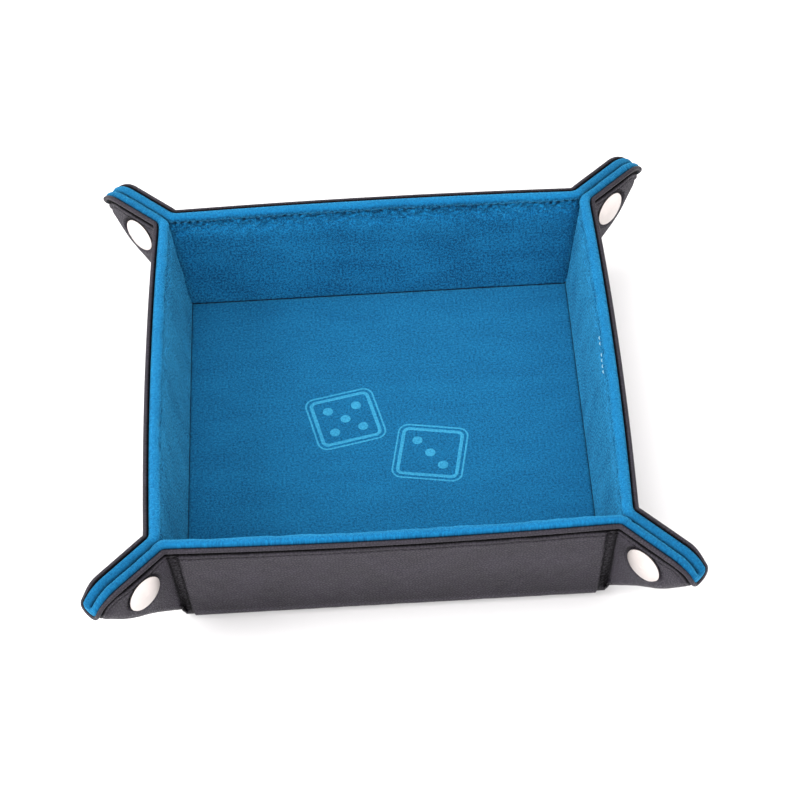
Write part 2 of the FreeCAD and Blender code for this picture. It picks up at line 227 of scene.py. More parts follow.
def grid_mesh(name, grids, material, thickness=0.0):
    """A piece from grids: each is (points, place on the flat sheet, dark, rough outer direction); dark holds
    seams and painted shade.
    """
    verts, faces, uvs, darks = [], [], [], []
    offset = 0
    for points, flat, dark, outward in grids:
        rows, cols = points.shape[:2]
        index = np.arange(rows * cols).reshape(rows, cols) + offset
        quads = np.stack([index[:-1, :-1], index[1:, :-1], index[1:, 1:], index[:-1, 1:]], -1).reshape(-1, 4)
        i, j = rows // 8, min(cols // 4, cols - 2)  # a quad that faces about as the whole grid does
        normal = np.cross(points[i + 1, j] - points[i, j], points[i, j + 1] - points[i, j])
        if normal @ outward < 0:
            quads = quads[:, ::-1]
        verts.append(points.reshape(-1, 3) * MM)
        faces.append(quads)
        uvs.append(as_uv(flat).reshape(-1, 2))
        darks.append(dark.reshape(-1))
        offset += rows * cols
    verts, faces = np.concatenate(verts), np.concatenate(faces)
    uvs, darks = np.concatenate(uvs), np.concatenate(darks)
    mesh = bpy.data.meshes.new(name)
    mesh.from_pydata(verts.tolist(), [], faces.tolist())
    layer = mesh.uv_layers.new(name="SheetUV")
    layer.data.foreach_set("uv", uvs[faces.ravel()].astype(np.float32).ravel())
    # Per point: the seams' own darkness, painted shade, and painted highlight where below nothing.
    shade = mesh.attributes.new("SeamsAndShade", "FLOAT", "POINT")
    shade.data.foreach_set("value", darks.astype(np.float32))
    mesh.polygons.foreach_set("use_smooth", [True] * len(mesh.polygons))
    mesh.materials.append(material)
    mesh.validate()
    edge_of = np.empty(len(mesh.loops), int)
    mesh.loops.foreach_get("edge_index", edge_of)
    border = np.bincount(edge_of, minlength=len(mesh.edges)) == 1
    mesh.attributes.new("sharp_edge", "BOOLEAN", "EDGE").data.foreach_set("value", border)
    piece = bpy.data.objects.new(name, mesh)
    bpy.context.scene.collection.objects.link(piece)
    if thickness:
        solid = piece.modifiers.new("Thickness", "SOLIDIFY")
        solid.thickness = thickness * MM
        solid.offset = -1
    return piece


def weld(piece, reach):
    """Joins the points that two grids of a piece share."""
    joined = piece.modifiers.new("Weld", "WELD")
    joined.merge_threshold = reach * MM


def smooth_line(points, count):
    """A Catmull-Rom line through points, sampled evenly."""
    points = np.asarray(points, float)
    ends = np.vstack([2 * points[0] - points[1], points, 2 * points[-1] - points[-2]])
    dense = []
    for k in range(len(points) - 1):
        a, b, c, d = ends[k : k + 4]
        x = np.linspace(0, 1, 12, endpoint=k == len(points) - 2)[:, None]
        bent = (2 * a - 5 * b + 4 * c - d) * x**2 + (3 * b - a - 3 * c + d) * x**3
        dense.append(0.5 * (2 * b + (c - a) * x + bent))
    dense = np.vstack(dense)
    length = np.concatenate([[0], np.cumsum(np.linalg.norm(np.diff(dense[:, :2], axis=0), axis=1))])
    at = np.linspace(0, length[-1], count)
    return np.stack([np.interp(at, length, dense[:, i]) for i in range(dense.shape[1])], -1)


# Rim sections: how far in from the rim, and how deep below the velvet surface, from the panel over the rim.
BAND = 9.5  # where a section starts, in from the rim
VELVET_WALL = [
    (9.5, 0), (6.0, 0.0), (4.4, 0.06), (3.6, 0.34), (3.0, 0.42), (2.5, 0.12), (1.7, -0.3), (0.8, -0.2),
    (0.1, 0.35), (-0.35, 1.2), (-0.5, 2.2), (-0.25, 3.1), (0.5, 3.9), (1.5, 4.15), (2.6, 4.2),
]
VELVET_EAR = [
    (9.5, 0), (7.5, 0.0), (6.2, 0.05), (5.4, 0.35), (4.6, 0.1), (3.6, 0.02), (2.4, 0.0), (1.2, 0.12),
    (0.35, 0.5), (-0.25, 1.2), (-0.5, 2.2), (-0.25, 3.1), (0.5, 3.9), (1.5, 4.15), (2.6, 4.2),
]
LEATHER = [
    (9.5, 6.0), (8.0, 6.0), (6.6, 6.03), (5.9, 5.95), (5.4, 5.66), (4.9, 5.94), (4.3, 6.0), (3.7, 5.65),
    (3.25, 5.0), (2.8, 4.7), (2.3, 4.7), (1.9, 5.1), (1.4, 5.9), (0.6, 6.25), (0.0, 5.95), (-0.2, 5.3),
    (0.0, 4.6), (0.6, 4.25), (2.6, 4.2),
]
WALL_SEAM, EAR_SEAM, LEATHER_SEAM = 2.9, 5.4, 5.4  # seam lines, in from the rim
VELVET_GROOVE, LEATHER_GROOVE = 0.42, 5.66  # depth of the seams' grooves
NEAR_RIM = 3.0  # in from the rim, where a section may have rolled over it
VELVET_ROWS, LEATHER_ROWS = 34, 46


def velvet_rim(share):
    """The velvet's rim section, from a wall's (0) to an ear's (1)."""
    wall, ear = smooth_line(VELVET_WALL, VELVET_ROWS), smooth_line(VELVET_EAR, VELVET_ROWS)
    return wall + share[..., None, None] * (ear - wall)


def rim_share(q):
    """How much of an ear's velvet section there is, by the distance past the corner crease."""
    return step(q, -2.0, 5.0)


def rim_path(spacing):
    """An ear's edge in the flat sheet, from corner crease to diagonal: points and inward normals."""
    start = BASE + COS * RISE
    centre = BASE + RISE - CORNER_R
    straight = np.linspace(start, centre, int((centre - start) / spacing), endpoint=False)
    angle = np.linspace(math.pi / 2, math.pi / 4, int(CORNER_R * math.pi / 4 / spacing))
    points = np.concatenate([
        np.stack([straight, np.full_like(straight, RISE)], -1),
        np.stack([centre + CORNER_R * np.cos(angle), RISE - CORNER_R + CORNER_R * np.sin(angle)], -1),
    ])
    normals = np.concatenate([
        np.tile([0.0, -1.0], (len(straight), 1)),
        -np.stack([np.cos(angle), np.sin(angle)], -1),
    ])
    return points, normals


def end_columns(section):
    """Sheet points of a wall's end and its ear: a column for each step along the rim, from the foot over it.

    section(points) gives each column's rim section. Returns s, t, d and how far in from the rim a point is.
    """
    ear_points, ear_normals = rim_path(END_STEP)
    count = int((JOIN + COS * RISE) / END_STEP)
    share = np.linspace(0, 1, count, endpoint=False)
    s_top = (BASE - JOIN) + share * (JOIN + COS * RISE)
    wall_points = np.stack([s_top, np.full_like(s_top, RISE)], -1)
    rim = np.concatenate([wall_points, ear_points])
    normals = np.concatenate([np.tile([0.0, -1.0], (count, 1)), ear_normals])
    feet = np.concatenate([
        np.stack([(BASE - JOIN) + share * JOIN, np.zeros(count)], -1),
        np.tile([BASE, 0.0], (len(ear_points), 1)),
    ])
    profile = section(rim)
    inner = rim + normals * BAND
    reach = inner - feet
    lengths = np.linalg.norm(reach, axis=1)
    # The ear's columns start a little off the floor corner, so that they don't meet in one point.
    first = np.where(np.arange(len(rim)) >= count, 0.6 / lengths, 0.0)[:, None]
    x = first + (1 - first) * np.linspace(0, 1, PANEL_ROWS, endpoint=False)
    panel = feet[:, None] + reach[:, None] * x[..., None]
    panel_in = BAND + lengths[:, None] * (1 - x)
    band = rim[:, None] + normals[:, None] * profile[..., 0:1]
    s = np.concatenate([panel[..., 0], band[..., 0]], 1)
    t = np.concatenate([panel[..., 1], band[..., 1]], 1)
    d = np.concatenate([np.broadcast_to(profile[:, :1, 1], x.shape), profile[..., 1]], 1)
    inset = np.concatenate([panel_in, profile[..., 0]], 1)
    short = np.zeros_like(s)
    short[-1] = HAIR
    return s - short / math.sqrt(2), np.maximum(t, 0.02) + short / math.sqrt(2), d, inset


def middle_columns(section):
    """The same for a wall's middle, between its two seams."""
    edge = BASE - JOIN
    s_top = np.linspace(-edge, edge, int(2 * edge / MIDDLE_STEP))
    rim = np.stack([np.abs(s_top), np.full_like(s_top, RISE)], -1)
    profile = section(rim)
    shape = (len(s_top), PANEL_ROWS)
    panel = np.broadcast_to((RISE - BAND) * np.linspace(0, 1, PANEL_ROWS, endpoint=False), shape)
    t = np.concatenate([panel, RISE - profile[..., 0]], 1)
    d = np.concatenate([np.broadcast_to(profile[:, :1, 1], shape), profile[..., 1]], 1)
    s = np.broadcast_to(s_top[:, None], t.shape)
    return s, np.maximum(t, 0.02), d, RISE - t


# ---- relief


def seam_line(q):
    """How far in from the rim the velvet's seam runs."""
    return WALL_SEAM + (EAR_SEAM - WALL_SEAM) * rim_share(q)


def velvet_depth(s, t, d, inset, side, wall):
    """Adds the velvet's own relief to its depth: puckers at the seam, soft waves and the snap's seat."""
    u, v = np.moveaxis(on_sheet(s, t, side, wall), -1, 0)
    q, _ = mitre_distance(np.abs(s), t)
    on_ear = step(q, 0.0, 8.0)
    on_face = d < 2.0
    pucker = 0.5 + 0.5 * stitch_wave(s, t, 0.8 * waves(u, v, 30, 3))
    line, shows = seam_line(q), SEAM_SHOWS[wall]
    rumple = 0.38 * waves(u, v, 2.4, 5) + 0.24 * waves(u, v, 6.0, 6)
    seam = hump(inset, line, 0.8) * 0.48 * pucker * math.sqrt(shows)
    seam = seam + shows * hump(inset, line + 2.6, 2.4) * rumple
    soft = 0.14 * waves(u, v, 19, 7) + 0.05 * waves(u, v, 6, 8)
    soft = soft + 0.35 * hump(q, -7.0, 2.6) * step(t, 3, 14) * (0.5 + 0.5 * waves(u, v, 40, 12))
    bead = hump(inset, 1.2, 2.6) * (0.14 * waves(u, v, 8, 9) + 0.16 * waves(u, v, 21, 10))
    crease = 0.12 * hump(t, 0, 0.9) * (q < 1)
    keep = step(inset, -1.0, 1.0) * on_face
    extra = keep * (seam * (1 - 0.6 * on_ear) + soft * (1 - 0.8 * on_ear) * step(t, 0.5, 8))
    extra = extra + np.where(on_ear > 0.5, np.abs(bead), bead) * on_face
    away = snap_distance(s, t)
    seat = 3.0 * (1 - step(away, 6.9, 9.2))
    return np.where(on_face & (away < 9.4), np.maximum(d + extra, seat), d + extra) + crease


def velvet_seams_and_shade(s, t, d, inset, wall):
    """How much darker the velvet is drawn: its seams' own stitch dashes and rough band, a lighter worn band
    below them, painted shade in the gap under the rim, in the ears' slits and along the floor crease, and a
    painted highlight on the crests.
    """
    q, _ = mitre_distance(np.abs(s), t)
    line, on_ear = seam_line(q), step(q, -1.0, 4.0)
    # Painted shade where the velvet turns down into the gap beside the leather.
    rim = 0.9 * step(d, 3.7, 4.1)
    # Painted highlight along the crest of the rim's bead.
    crest = -(0.42 - 0.12 * on_ear) * hump(inset, -0.1, 1.0 + 0.5 * on_ear) * (1 - step(d, 2.8, 3.7))
    # Painted shade on an ear's velvet near its rim, deepest down in the slit.
    slit = 0.26 + 0.5 * (1 - step(d, 0.15, 1.3)) * step(inset, -0.2, 1.0)
    slit = slit * on_ear * (1 - step(inset, 2.5, 6.0))
    patchy = np.clip(0.7 + 0.6 * waves(np.abs(s), t, 4.5, 61), 0, 1.6)
    worn = -0.38 * hump(inset, line + 4.6, 3.6) * (1 - on_ear) * patchy
    # Painted shade along the floor crease.
    crease = 0.45 * hump(t, 0, 0.4) * (np.abs(s) < BASE)
    tufts = np.clip(0.5 + 1.1 * waves(np.abs(s), t, 2.1, 62), -0.5, 1.4)
    rough = 0.62 * hump(inset, line + 0.6, 1.9) * (1 - on_ear) * tufts
    dashes = 0.7 * hump(inset, line, 0.45) * (0.55 + 0.45 * stitch_wave(s, t))
    seam = SEAM_SHOWS[wall] * (dashes + rough)
    return (seam + worn) * (d < 2) + rim + crest + slit + crease


def ear_face(s, t, inset):
    """The leather's depth on an ear, which has no board: thin at the corner and puffed round a cap."""
    reach = np.hypot(np.abs(s) - BASE, t)
    away = snap_distance(s, t)
    to_rim = np.clip(reach / (reach + np.maximum(inset, 0) + 1e-6), 0, 1)
    depth = 3.2 + 1.8 * to_rim + 1.8 * hump(away, 0, 12.0)
    seat = 4.65 + 2.4 * step(away, 8.1, 10.4) + 1.5 * (1 - step(edge_distance(s, t), -0.5, 2.5))
    return np.minimum(depth, seat)


def crease_line(depth):
    """Where an ear's leather leaves the wall's, as a distance from the corner crease."""
    return ((THICK - CHANNEL) * math.cos(PINCH) - depth) / math.sin(PINCH)


def channel_width(t):
    return 3.3 + 1.5 * np.clip(t / RISE, 0, 1)


def outer_face(d, inset):
    """Where a leather point is on the outer face, rather than turned in over the rim."""
    return (d > 4.9) | ((d > 4.5) & (inset > 1.0))


def leather_depth(s, t, d, inset, side, wall):
    """The leather's depth as wall and as ear, with soft waves, the seam's stitches and the sunk strip."""
    u, v = np.moveaxis(on_sheet(s, t, side, wall), -1, 0)
    q, _ = mitre_distance(np.abs(s), t)
    face = outer_face(d, inset)
    soft = (0.10 * waves(u, v, 19, 17) + 0.05 * waves(u, v, 7, 18)) * step(inset, 2.0, 4.0)
    stitched = 0.12 * hump(inset, LEATHER_SEAM, 0.7) * stitch_wave(s, t)
    ear = ear_face(s, t, inset)
    edge = crease_line(ear)
    start = edge - channel_width(t)
    sunk = CHANNEL + 0.09 * waves(u, v, 1.9, 19)
    channel = sunk * step(q, start, start + 0.7) * step(inset, 3.0, 4.6)
    foot = 0.16 * (1 - step(t, 0.0, 2.0))
    as_wall = d + np.where(face, soft * step(t, 1.0, 9.0) + stitched - channel - foot, 0)
    as_ear = d + np.where(face, soft * 0.6 + stitched - (THICK - ear) * step(inset, 2.0, 6.5), 0)
    as_ear = as_ear - 0.17 * d * (1 - step(edge_distance(s, t), 0.0, 9.0)) * (1 - step(inset, 2.0, 9.0))
    return as_wall, as_ear


def leather_seams_and_shade(s, t, d, inset):
    """How much darker the leather is drawn: its stitch line's own dashes, and painted shade in the groove
    under the rim's roll, towards the floor, in the sunk strip beside an ear and the crease past it, in a
    crescent above each cap and where it turns in under the velvet.
    """
    q, _ = mitre_distance(np.abs(s), t)
    edge = crease_line(ear_face(s, t, inset))
    start, far = edge - channel_width(t), edge + CREASE_SPAN
    # Painted shade in the groove below the rim's roll.
    line = 1.15 * step(inset, 1.35, 1.9) * (1 - step(inset, 3.3, 4.0))
    line = line + 0.8 * (0.6 + 0.4 * stitch_wave(s, t)) * hump(inset, LEATHER_SEAM, 0.5)
    # Painted shade, darker towards the bottom of the wall.
    line = line + 0.32 * (1 - step(t, 1.0, 27.0)) * (q < edge)
    # Painted shade in the sunk strip beside the ear, mottled, with its edge and the crease past it.
    strip = step(q, start + 0.1, start + 0.7) * (1 - step(q, far, far + 1.8))
    nubs = 0.64 + 0.22 * waves(np.abs(s), t, 1.9, 63)
    channel = nubs * strip + 0.5 * hump(q, start + 0.35, 0.4) + 0.35 * hump(q, edge + 1.4, 2.0)
    # Painted shadow in a crescent over the upper side of each cap.
    channel = channel + 0.75 * hump(snap_distance(s, t), 8.3, 1.1) * step(t - SNAP[1], -6.0, 5.0)
    # Painted shade where the leather turns in under the velvet.
    turned_in = 0.9 * step(5.0 - d, 0.0, 0.5)
    return np.clip(np.where(outer_face(d, inset), line + channel * step(inset, 1.5, 3.5), turned_in), 0, 1)


def leather_fold_points(s, t, as_wall, as_ear):
    """Carries leather points of a wall's end to the standing tray, with a crease where the ear leaves."""
    q, r = mitre_distance(s, t)
    as_wall, as_ear = as_wall + bow(s, t), as_ear + bow(s, t)
    cos, sin, soft = math.cos(PINCH), math.sin(PINCH), 0.8
    start, end = (as_wall * cos - as_ear) / sin, (as_wall - as_ear * cos) / sin
    foot = CORNER + r[..., None] * MITRE

    def on_wall(at):
        return foot + at[..., None] * ALONG + as_wall[..., None] * OUT

    def on_ear(at):
        return foot + at[..., None] * EAR_ALONG + as_ear[..., None] * EAR_OUT

    x = np.clip((q - start + soft) / (end - start + 2 * soft), 0, 1)[..., None]
    bend = (1 - x) ** 2 * on_wall(start - soft) + 2 * x * (1 - x) * on_wall(start) + x**2 * on_ear(end + soft)
    past = np.where((q > end + soft)[..., None], on_ear(q), bend)
    return np.where((q < start - soft)[..., None], on_wall(q), past)


# ---- materials


class Look:
    """A node material. An input given as a value is set, and one given as another node's output is linked."""

    def __init__(self, name):
        self.material = bpy.data.materials.new(name)
        self.material.use_nodes = True
        self.tree = self.material.node_tree

    def fill(self, node, inputs):
        for key, value in inputs.items():
            if isinstance(value, bpy.types.NodeSocket):
                self.tree.links.new(value, node.inputs[key])
            else:
                node.inputs[key].default_value = value

    def add(self, kind, inputs, output=0, **settings):
        node = self.tree.nodes.new("ShaderNode" + kind)
        for key, value in settings.items():
            setattr(node, key, value)
        self.fill(node, inputs)
        return node.outputs[output]

    def surface(self, inputs):
        self.fill(self.tree.nodes["Principled BSDF"], inputs)
        return self.material

    def on_sheet(self):
        """The sheet's flat coordinates, in centimetres."""
        flat = self.add("UVMap", {}, uv_map="SheetUV")
        return self.add("VectorMath", {0: flat, 1: (SPAN / 10,) * 3}, operation="MULTIPLY")

    def noise(self, where, scale, detail, rough=0.5, output="Fac", dimensions="2D"):
        inputs = {"Vector": where, "Scale": scale, "Detail": detail, "Roughness": rough}
        return self.add("TexNoise", inputs, output, noise_dimensions=dimensions)

    def own_noise(self, scale, detail, rough=0.5):
        """Noise in the object's own coordinates."""
        return self.noise(self.add("TexCoord", {}, "Object"), scale, detail, rough, dimensions="3D")

    def times(self, value, factor, plus=0.0):
        return self.add("Math", {0: value, 1: factor, 2: plus}, operation="MULTIPLY_ADD")

    def mark(self, name):
        return self.add("Attribute", {}, "Fac", attribute_name=name)

    def shaded(self, tone, share):
        """A tone darkened by the mesh's seams and painted shade (lightened, as a painted highlight, where
        that value is below nothing).
        """
        scale = self.times(self.mark("SeamsAndShade"), -share, 1.0)
        return self.add("VectorMath", {0: tone, "Scale": scale}, operation="SCALE")

    def ramp(self, factor, stops):
        """Colours, or greys, between stops."""
        node = self.tree.nodes.new("ShaderNodeValToRGB")
        elements = node.color_ramp.elements
        while len(elements) < len(stops):
            elements.new(0.5)
        for element, (at, colour) in zip(elements, stops):
            element.position = at
            element.color = (*colour, 1) if isinstance(colour, tuple) else (colour, colour, colour, 1)
        self.fill(node, {0: factor})
        return node.outputs[0]

    def bump(self, height, strength, distance):
        return self.add("Bump", {"Height": height, "Strength": strength, "Distance": distance})


def velvet_material(name, deep, light, lift, brush, spread):
    """Short-napped velvet: brushed patches, fine speckle and a soft sheen; the mesh's seams and painted shade
    darken its colour and sheen, and painted highlights lighten them.
    """
    look = Look(name)
    where = look.on_sheet()
    brushed = look.add("VectorMath", {0: where, 1: (1.0, 2.4, 1.0)}, operation="MULTIPLY")
    tufts = look.noise(where, 11.0, 3.0, 0.7)
    fibres = look.noise(where, 30.0, 2.0, 0.6)
    grain = look.times(look.noise(brushed, 0.4, 3.0), brush)
    grain = look.times(tufts, 0.62 - brush, grain)
    grain = look.times(fibres, 0.38, grain)
    calm = look.times(look.mark("Bead"), -0.68, 1.0)
    grain = look.times(look.times(grain, 1.0, -0.5), calm, 0.5)
    middle = tuple((a + b) / 2 for a, b in zip(deep, light))
    tone = look.ramp(grain, [(0.5 - spread, deep), (0.5, middle), (0.5 + spread, light)])
    pile = look.ramp(grain, [(0.5 - spread, 0.18 * lift), (0.5 + spread, 1.3 * lift)])
    return look.surface({
        "Base Color": look.shaded(tone, 0.85),
        "Roughness": 0.92,
        "Specular IOR Level": 0.12,
        "Sheen Weight": look.shaded(pile, 0.6),
        "Sheen Roughness": 0.4,
        "Sheen Tint": (0.08, 0.53, 0.88, 1),
        "Normal": look.bump(look.times(tufts, 0.55, fibres), 0.8, 0.0005),
    })


def leather_material():
    """A dark leather with a pebbled grain, worn lighter on its pebbles, darker at its seams and with painted
    shade in its creases and grooves.
    """
    look = Look("leather")
    where = look.on_sheet()
    warp = look.noise(where, 3.2, 3.0, output="Color")
    warped = look.add("VectorMath", {0: warp, 1: (0.16,) * 3, 2: where}, operation="MULTIPLY_ADD")
    cells = look.add(
        "TexVoronoi",
        {"Vector": warped, "Scale": 8.5, "Randomness": 0.95},
        "Distance",
        voronoi_dimensions="2D",
        feature="DISTANCE_TO_EDGE",
    )
    pebble = look.ramp(cells, [(0.0, 0.0), (0.12, 0.62), (0.38, 1.0)])
    dark, light = (0.0080, 0.0062, 0.0100, 1), (0.0230, 0.0182, 0.0300, 1)
    tone = look.add("Mix", {0: pebble, 6: dark, 7: light}, 2, data_type="RGBA")
    cloudy = look.ramp(look.noise(where, 0.8, 3.0), [(0.3, 0.86), (0.7, 1.16)])
    tone = look.add("Mix", {0: 1.0, 6: tone, 7: cloudy}, 2, data_type="RGBA", blend_type="MULTIPLY")
    return look.surface({
        "Base Color": look.shaded(tone, 0.93),
        # Its shine is turned down where the mesh carries seams and painted shade.
        "Specular IOR Level": look.times(look.mark("SeamsAndShade"), -0.31, 0.355),
        "Roughness": look.ramp(pebble, [(0.0, 0.72), (1.0, 0.47)]),
        "Normal": look.bump(look.times(look.noise(where, 42.0, 3.0, 0.6), 0.18, pebble), 0.55, 0.00036),
    })


def dimmed(colour, share):
    return tuple(share * c for c in colour)


def metal_material(name, colour, rough, grain):
    """Plated metal with faint handling marks."""
    look = Look(name)
    marks = look.own_noise(900.0, 4.0, 0.65)
    return look.surface({
        "Base Color": look.ramp(look.own_noise(160.0, 2.0), [(0.35, dimmed(colour, 0.93)), (0.65, colour)]),
        "Roughness": look.ramp(marks, [(0.3, rough - grain), (0.7, rough + grain)]),
        "Metallic": 1.0,
        "Normal": look.bump(marks, 0.08, 0.00005),
    })


def mottled_material(name, colour, rough, scale, detail, share, spread, bump):
    """Board, foam or thread: a plain surface that is a little darker in places."""
    look = Look(name)
    mottle = look.own_noise(scale, detail)
    return look.surface({
        "Base Color": look.ramp(mottle, [(0.5 - spread, dimmed(colour, share)), (0.5 + spread, colour)]),
        "Roughness": rough,
        "Normal": look.bump(mottle, *bump),
    })


def panel_material(name, colour, rough, scale):
    return mottled_material(name, colour, rough, scale, 5.0, 0.82, 0.2, (0.3, 0.0002))


def thread_material(name, colour):
    return mottled_material(name, colour, 0.7, 2600.0, 2.0, 0.6, 0.15, (0.4, 0.0001))


BLUES = (0.0016, 0.052, 0.140), (0.006, 0.165, 0.370)
VELVET = velvet_material("velvet", *BLUES, 1.0, 0.08, 0.14)
VELVET_STEEP = velvet_material("velvet_steep", *BLUES, 1.0, 0.11, 0.068)
PRINT = velvet_material("velvet_print", (0.022, 0.23, 0.43), (0.05, 0.37, 0.60), 0.6, 0.12, 0.10)
LEATHER_SKIN = leather_material()
CAP_METAL = metal_material("cap_metal", (0.72, 0.665, 0.64), 0.36, 0.05)
SNAP_METAL = metal_material("snap_metal", (0.62, 0.60, 0.57), 0.33, 0.07)
BOARD = panel_material("board", (0.42, 0.34, 0.25), 0.9, 900.0)
FOAM = panel_material("foam", (0.82, 0.80, 0.74), 0.95, 1600.0)
DARK_THREAD = thread_material("dark_thread", (0.011, 0.009, 0.013))
BLUE_THREAD = thread_material("blue_thread", (0.012, 0.17, 0.36))
PALE_THREAD = thread_material("pale_thread", (0.38, 0.74, 0.90))


# ---- what a piece is


def finish_piece(piece, replaced):
    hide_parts(replaced)
    return piece


def half_ear(wall, side):
    """The half ear at an end of a wall, as bodies and nodes are named in the frame."""
    return f"{ENDS[wall][0 if side > 0 else 1]}_{wall}"


def bend_to_ear(piece, wall, side, crease):
    """Bakes a piece's placement into its mesh; the two edges of its crease are worked out but not used."""
    start, end = crease(side, wall)
    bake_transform(piece)


def declare_sheet(piece, degrees, with_pieces=()):
    """Works out a piece of velvet or leather's flat coordinates, turned back from its wall, but does nothing
    more with them.
    """
    uv = np.empty(len(piece.data.loops) * 2, np.float32)
    piece.data.uv_layers["SheetUV"].data.foreach_get("uv", uv)
    flat = (uv.reshape(-1, 2).astype(float) - 0.5) * SPAN
    flat = turned(np.concatenate([flat, np.zeros((len(flat), 1))], 1), -degrees)[:, :2] * MM


# ---- velvet


def velvet_crease(side, wall):
    """Where the velvet starts and stops turning at a corner crease, in metres."""
    middle = CORNER + 0.5 * RISE * MITRE
    half = VELVET_BEND * math.cos(PINCH / 2) * ACROSS
    return to_wall(np.stack([middle - half, middle + half]), side, wall) * MM


def mark_bead(piece, inset):
    """Marks where the velvet is stretched over the bead, so that its grain is calmer there."""
    bead = piece.data.attributes.new("Bead", "FLOAT", "POINT")
    bead.data.foreach_set("value", (1 - step(inset, 0.3, 1.8)).ravel().astype(np.float32))


def rolled(s, t, d, inset, side, wall):
    """Places on the flat sheet, carried on past the rim so that no texture is stretched."""
    steps = np.sqrt(np.diff(s, axis=1) ** 2 + np.diff(t, axis=1) ** 2 + np.diff(d, axis=1) ** 2)
    run = np.concatenate([np.zeros((len(s), 1)), np.cumsum(steps, 1)], 1)
    over = np.where(inset < NEAR_RIM, run - (run[:, -1:] - 6.0), 0)  # the last 6 mm are rolled over the rim
    return on_sheet(s, t + np.maximum(over, 0) * 0.8, side, wall)


def velvet_wall(wall):
    s, t, d, inset = middle_columns(lambda rim: velvet_rim(0.0 * rim[:, 0]))
    d = velvet_depth(s, t, d, inset, 1, wall)
    points, flat = placed_middle(s, t, d, wall), rolled(s, t, d, inset, 1, wall)
    grid = points, flat, velvet_seams_and_shade(s, t, d, inset, wall), -outward_of(wall)
    piece = grid_mesh(f"velvet_wall_{wall}", [grid], VELVET_STEEP, VELVET_PLY)
    mark_bead(piece, inset)
    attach(piece, f"wall_{wall}")
    return finish_piece(piece, f"wall_lining_{wall}")


def velvet_end(wall, side):
    """Returns the velvet of a wall's end and half ear, and its column up the ear's folded edge."""
    s, t, d, inset = end_columns(lambda rim: velvet_rim(rim_share(mitre_distance(rim[:, 0], rim[:, 1])[0])))
    d = velvet_depth(s, t, d, inset, side, wall)
    points, flat = placed_end(s, t, d, side, wall), rolled(s, t, d, inset, side, wall)
    grid = points, flat, velvet_seams_and_shade(s, t, d, inset, wall), to_wall(-OUT, side, wall)
    name = half_ear(wall, side)
    piece = grid_mesh(f"velvet_ear_{name}", [grid], VELVET_STEEP, EAR_VELVET_PLY)
    mark_bead(piece, inset - 1.6 * rim_share(mitre_distance(s, t)[0]))
    bend_to_ear(piece, wall, side, velvet_crease)
    return finish_piece(piece, f"ear_lining_{name}"), (s[-1], t[-1], d[-1], inset[-1])


def wrap(kind, column, dark, material, wall, side, from_row=0):
    """Carries an ear's last column round its folded edge to the plane where the two halves meet."""
    s, t, d, inset = (x[from_row:] for x in column)
    angle = np.linspace(0, math.pi / 2, 22)[:, None]
    ring = np.cos(angle) * EAR_OUT + np.sin(angle) * BEYOND
    back = TIP_BACK * np.sin(angle) ** 2 * (1 - step(inset, 2.0, 12.0)) * step(d, 0.5, 4.5)
    reach = np.hypot(s - BASE, t) - back
    points = CORNER + reach[..., None] * EDGE + d[:, None] * ring[:, None] - HAIR * BEYOND
    flat = on_sheet(s + 0 * angle, t + d * angle, side, wall)
    # The column's seams and painted shade, carried round the folded edge.
    shade = np.broadcast_to(dark[from_row:], points.shape[:2])
    outward = to_wall(BEYOND + EAR_OUT, side, wall)
    name = half_ear(wall, side)
    piece = grid_mesh(f"{kind}_{name}", [(to_wall(points, side, wall), flat, shade, outward)], material)
    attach(piece, f"ear_{name}")
    # Where it would flatten to, far enough back that it stays on its own half's side, is worked out but not
    # used.
    anchor = to_wall(CORNER - 4 * HAIR * BEYOND, side, wall) * MM
    to_wall(BEYOND, side, wall)
    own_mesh(piece)
    if kind == "velvet_tip":
        mark_bead(piece, np.zeros(points.shape[:2]))
    return piece


def velvet_floor():
    half = BASE - 0.02
    x = np.linspace(-half, half, 110)
    x = np.sign(x) * half * (1 - (1 - np.abs(x) / half) ** 1.15)  # closer together near the creases
    u, v = np.meshgrid(x, x, indexing="ij")
    edge = BASE - np.maximum(np.abs(u), np.abs(v))
    plain = step(np.hypot(u, v + 2), 38, 60)  # no waves under the print
    d = 0.06 * waves(u, v, 22, 31) * step(edge, 1, 8) * plain + 0.4 * (1 - step(edge, -0.3, 1.0))
    points = np.stack([u, v, THICK - d], -1)
    # Painted shade along the floor's edges, where it meets the walls.
    grid = points, points[..., :2], 0.45 * (1 - step(edge, 0.0, 0.6)), UP
    piece = grid_mesh("velvet_floor", [grid], VELVET, VELVET_PLY)
    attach(piece, "base")
    return finish_piece(piece, "base_lining")


def pressed(flat, height):
    """Grid points at these heights over the velvet."""
    return np.concatenate([flat, np.broadcast_to((THICK + height)[:, None], (*flat.shape[:2], 1))], -1)


def pressed_line(loop, inward, width):
    """A flat band along a closed loop, a hair above the velvet, as grid rows."""
    across = width * np.array([0.0, 0.0, 0.12, 0.5, 0.88, 1.0, 1.0])
    height = np.array([-0.5, 0.03, 0.075, 0.08, 0.075, 0.03, -0.5])
    return pressed(loop[:, None] + inward[:, None] * across[:, None], height)


def rounded_square(half, radius, turn, centre):
    """Points round a square with rounded corners, and the direction inwards at each."""
    points, normals = [], []
    for k, corner in enumerate(((1, 1), (-1, 1), (-1, -1), (1, -1))):
        for angle in np.linspace(0, math.pi / 2, 9) + k * math.pi / 2:
            outward = np.array([math.cos(angle), math.sin(angle)])
            points.append(np.array(corner) * (half - radius) + radius * outward)
            normals.append(-outward)
    points.append(points[0])
    normals.append(normals[0])
    c, s = math.cos(turn), math.sin(turn)
    spin = np.array([[c, s], [-s, c]])
    return np.array(points) @ spin + centre, np.array(normals) @ spin


